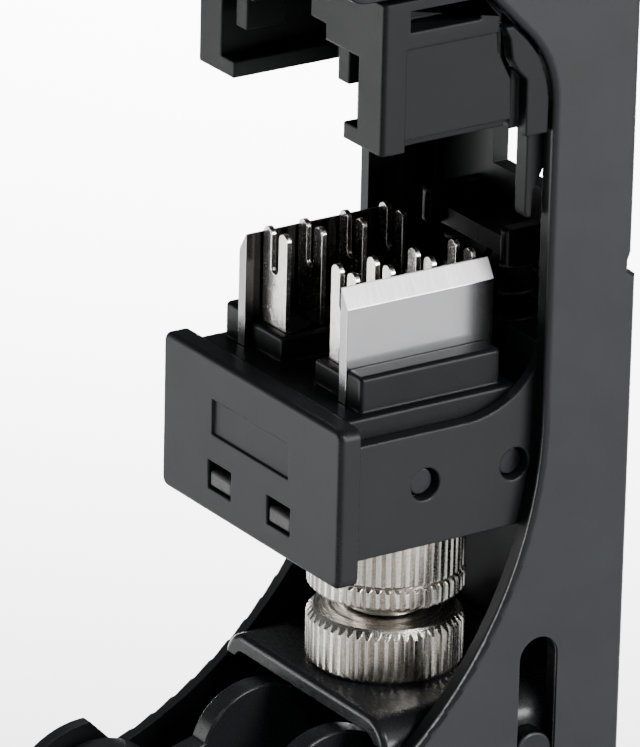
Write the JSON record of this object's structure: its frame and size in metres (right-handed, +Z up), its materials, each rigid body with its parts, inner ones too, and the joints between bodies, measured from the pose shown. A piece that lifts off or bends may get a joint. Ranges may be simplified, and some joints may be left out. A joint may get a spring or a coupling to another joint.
{
  "type": "keystone jack punch down tool",
  "caption": "Squeeze hand tool with a C-shaped head that seats and trims all wires of a keystone jack at once with a forked, bladed die.",
  "frame": {"origin": "on the flat foot of the grip, straight below the axis of the adjusting nuts", "axes": "+Z up along the punch axis from the foot to the head, -Y towards the open front and the lever, X across the tool"},
  "size_m": [0.0294, 0.0726, 0.192],
  "materials": {
    "housing": "fine-grained satin black moulded plastic",
    "carriage": "fine-grained satin black moulded plastic",
    "die": "black moulded plastic",
    "holder": "satin black moulded plastic",
    "nickel": "bright nickel plate with turned rings",
    "fork_steel": "polished stamped steel",
    "blade_steel": "satin ground tool steel",
    "plate_black": "glossy black coated steel",
    "lever_steel": "glossy black coated steel",
    "slide": "black moulded nylon",
    "grip": "satin black moulded plastic",
    "zinc": "zinc plated steel",
    "black_oxide": "black oxide steel",
    "spring": "black phosphated spring steel wire"
  },
  "bodies": {
    "housing": {"housing_right": "housing", "housing_left": "housing", "housing_screws": "black_oxide", "lever_pin": "zinc", "holder_bracket": "holder", "return_spring_right": "spring", "return_spring_left": "spring"},
    "lever": {"lever_frame": "lever_steel", "lever_grip": "grip", "lever_rivets": "zinc"},
    "slide": {"pusher_plate": "plate_black", "slide_block": "slide", "guide_pin_right": "black_oxide", "guide_pin_left": "black_oxide", "stud": "zinc"},
    "washer": {"lock_washer": "nickel"},
    "nut": {"lock_nut": "nickel"},
    "carriage": {"carriage": "carriage", "die_block": "die", "die_pin_front": "black_oxide", "die_pin_rear": "black_oxide", "blade_right": "blade_steel", "blade_left": "blade_steel", "fork_right_1": "fork_steel", "fork_right_2": "fork_steel", "fork_right_3": "fork_steel", "fork_right_4": "fork_steel", "fork_left_1": "fork_steel", "fork_left_2": "fork_steel", "fork_left_3": "fork_steel", "fork_left_4": "fork_steel"},
    "hub": {"adjuster_hub": "nickel", "hub_ring": "black_oxide"},
    "holder": {"jack_holder": "holder"}
  },
  "joints": [
    {"name": "lever_squeeze", "type": "hinge", "parent": "housing", "child": "lever", "pos_m": [0, -0.022, 0.093], "axis": [1, 0, 0], "range_deg": [0, 23.8], "stiffness_Nm_per_rad": 0.6, "springref_deg": -14.32},
    {"name": "punch_stroke", "type": "slide", "parent": "housing", "child": "slide", "axis": [0, 0, 1], "range_m": [0, 0.0091], "deforming": ["return_spring_right", "return_spring_left"]},
    {"name": "height_adjust", "type": "slide", "parent": "slide", "child": "carriage", "axis": [0, 0, 1], "range_m": [0, 0.001]},
    {"name": "hub_turn", "type": "hinge", "parent": "carriage", "child": "hub", "pos_m": [0, 0, 0.1195], "axis": [0, 0, 1], "range_deg": [0, 360.5]},
    {"name": "washer_rise", "type": "slide", "parent": "slide", "child": "washer", "axis": [0, 0, 1], "range_m": [0, 0.001]},
    {"name": "lock_nut_turn", "type": "hinge", "parent": "washer", "child": "nut", "pos_m": [0, 0, 0.1105], "axis": [0, 0, 1], "range_deg": [0, 360.5]},
    {"name": "holder_release", "type": "slide", "parent": "housing", "child": "holder", "axis": [0, -1, 0], "range_m": [0, 0.016]}
  ],
  "couplings": [
    {"joint": "punch_stroke", "follows": "lever_squeeze", "m_per_rad": 0.021666},
    {"joint": "hub_turn", "follows": "height_adjust", "rad_per_m": 6283.2},
    {"joint": "lock_nut_turn", "follows": "washer_rise", "rad_per_m": 6283.2}
  ]
}
